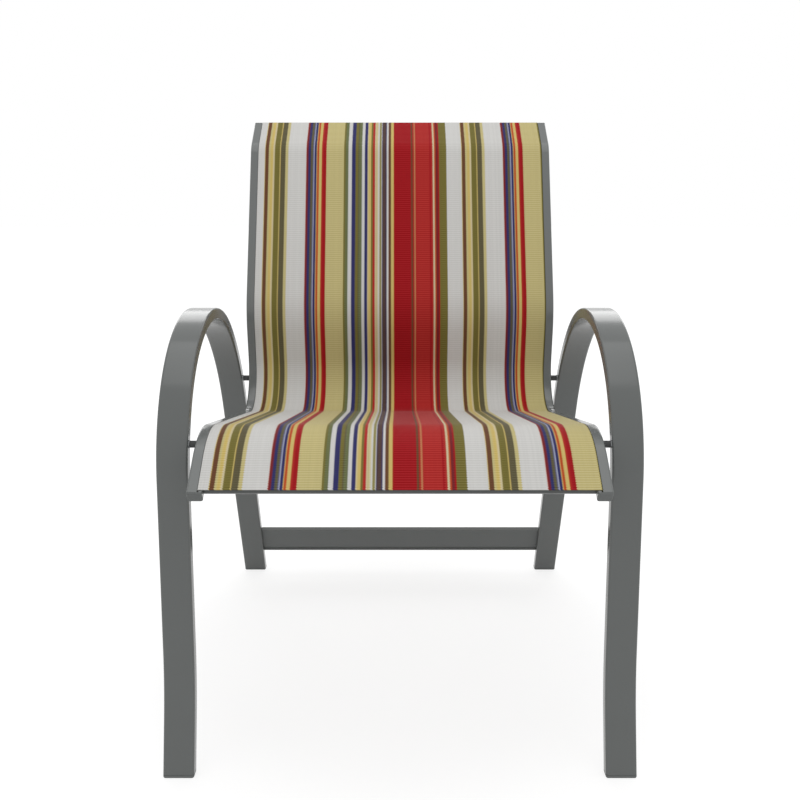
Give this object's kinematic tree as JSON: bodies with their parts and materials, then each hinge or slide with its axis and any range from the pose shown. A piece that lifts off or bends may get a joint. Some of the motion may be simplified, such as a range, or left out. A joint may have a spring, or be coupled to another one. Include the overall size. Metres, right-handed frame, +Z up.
{
  "type": "sling patio chair",
  "caption": "Patio armchair with two bent flat-bar side frames and one striped sling stretched between curved side rails.",
  "frame": {"origin": "on the floor, under the centre of the chair's outer box", "axes": "+Z up; +Y towards the back of the chair; +X towards the right of the picture"},
  "size_m": [0.61, 0.7106, 0.8478],
  "materials": {
    "frame_paint": "satin grey powder coat on a flat aluminium tube",
    "rail_paint": "satin grey powder coat on an aluminium extrusion",
    "spreader_paint": "satin dark grey powder coat on an aluminium extrusion",
    "sling_cloth": "striped woven vinyl-coated yarn",
    "cord_plastic": "smooth off-white cord",
    "end_plastic": "moulded grey plastic",
    "spacer_plastic": "moulded dark grey plastic",
    "bolt_steel": "zinc-plated steel"
  },
  "bodies": {
    "root": {"side_frame_left": "frame_paint", "side_frame_right": "frame_paint", "rear_stretcher": "frame_paint", "sling_rail_left": "rail_paint", "sling_rail_right": "rail_paint", "front_spreader": "spreader_paint", "hip_spreader": "spreader_paint", "top_spreader": "spreader_paint", "sling": "sling_cloth", "groove_cord_left": "cord_plastic", "groove_cord_right": "cord_plastic", "foot_glide_front_left": "end_plastic", "foot_glide_front_right": "end_plastic", "foot_glide_rear_left": "end_plastic", "foot_glide_rear_right": "end_plastic", "rail_plug_front_left": "end_plastic", "rail_plug_front_right": "end_plastic", "rail_plug_top_left": "end_plastic", "rail_plug_top_right": "end_plastic", "frame_spacer_front_left": "spacer_plastic", "frame_spacer_front_right": "spacer_plastic", "frame_spacer_rear_left": "spacer_plastic", "frame_spacer_rear_right": "spacer_plastic", "frame_bolt_front_left": "bolt_steel", "frame_bolt_front_right": "bolt_steel", "frame_bolt_rear_left": "bolt_steel", "frame_bolt_rear_right": "bolt_steel", "frame_insert_front_left": "bolt_steel", "frame_insert_front_right": "bolt_steel", "frame_insert_rear_left": "bolt_steel", "frame_insert_rear_right": "bolt_steel", "spreader_screw_front_left": "bolt_steel", "spreader_screw_front_right": "bolt_steel", "spreader_screw_hip_left": "bolt_steel", "spreader_screw_hip_right": "bolt_steel", "spreader_screw_top_left": "bolt_steel", "spreader_screw_top_right": "bolt_steel"}
  },
  "joints": []
}
